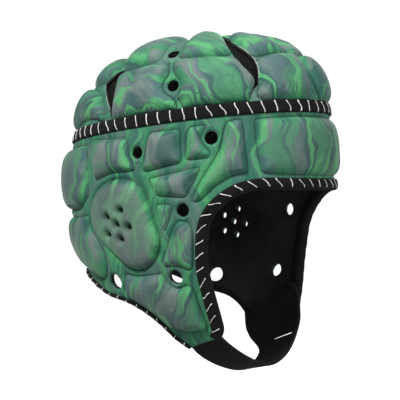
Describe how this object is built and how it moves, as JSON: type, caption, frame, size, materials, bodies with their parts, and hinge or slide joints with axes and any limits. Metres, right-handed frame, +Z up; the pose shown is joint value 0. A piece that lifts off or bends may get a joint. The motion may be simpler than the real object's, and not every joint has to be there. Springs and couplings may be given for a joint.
{
  "type": "padded soft-shell football head guard",
  "caption": "Soft padded head guard for football: printed green fabric over raised foam pads, black lining, taped seams and a chin strap, open at the face and neck.",
  "frame": {"origin": "inside of the crown, where the top of the wearer's head sits", "axes": "+Z up out of the crown, -Y out of the face opening, +X to the wearer's left"},
  "size_m": [0.1708, 0.2227, 0.2546],
  "materials": {
    "printed_cloth": "matte",
    "lining_cloth": "matte",
    "tape": "matte",
    "strap": "matte"
  },
  "bodies": {
    "root": {"lining": "lining_cloth", "crown_shell": "printed_cloth", "side_shell": "printed_cloth", "crown_band": "tape", "face_binding": "tape", "neck_binding": "tape", "chin_strap": "strap", "pad_forehead": "printed_cloth", "pad_temple_right": "printed_cloth", "pad_temple_left": "printed_cloth", "pad_brow_side_right": "printed_cloth", "pad_brow_side_left": "printed_cloth", "pad_side_upper_right": "printed_cloth", "pad_side_upper_left": "printed_cloth", "pad_over_ear_right": "printed_cloth", "pad_over_ear_left": "printed_cloth", "pad_ear_front_right": "printed_cloth", "pad_ear_front_left": "printed_cloth", "pad_dart_right": "printed_cloth", "pad_dart_left": "printed_cloth", "pad_ear_right": "printed_cloth", "pad_ear_left": "printed_cloth", "pad_cheek_front_right": "printed_cloth", "pad_cheek_front_left": "printed_cloth", "pad_jaw_right": "printed_cloth", "pad_jaw_left": "printed_cloth", "pad_rear_upper_right": "printed_cloth", "pad_rear_upper_left": "printed_cloth", "pad_rear_lower_right": "printed_cloth", "pad_rear_lower_left": "printed_cloth", "pad_crown_front_low_right": "printed_cloth", "pad_crown_front_low_left": "printed_cloth", "pad_crown_front_top_right": "printed_cloth", "pad_crown_front_top_left": "printed_cloth", "pad_crown_side_front_right": "printed_cloth", "pad_crown_side_front_left": "printed_cloth", "pad_crown_side_rear_right": "printed_cloth", "pad_crown_side_rear_left": "printed_cloth", "pad_crown_top_front_right": "printed_cloth", "pad_crown_top_front_left": "printed_cloth", "pad_crown_top_rear_right": "printed_cloth", "pad_crown_top_rear_left": "printed_cloth", "pad_crown_rear_low_right": "printed_cloth", "pad_crown_rear_low_left": "printed_cloth", "pad_crown_rear_top_right": "printed_cloth", "pad_crown_rear_top_left": "printed_cloth"}
  },
  "joints": []
}
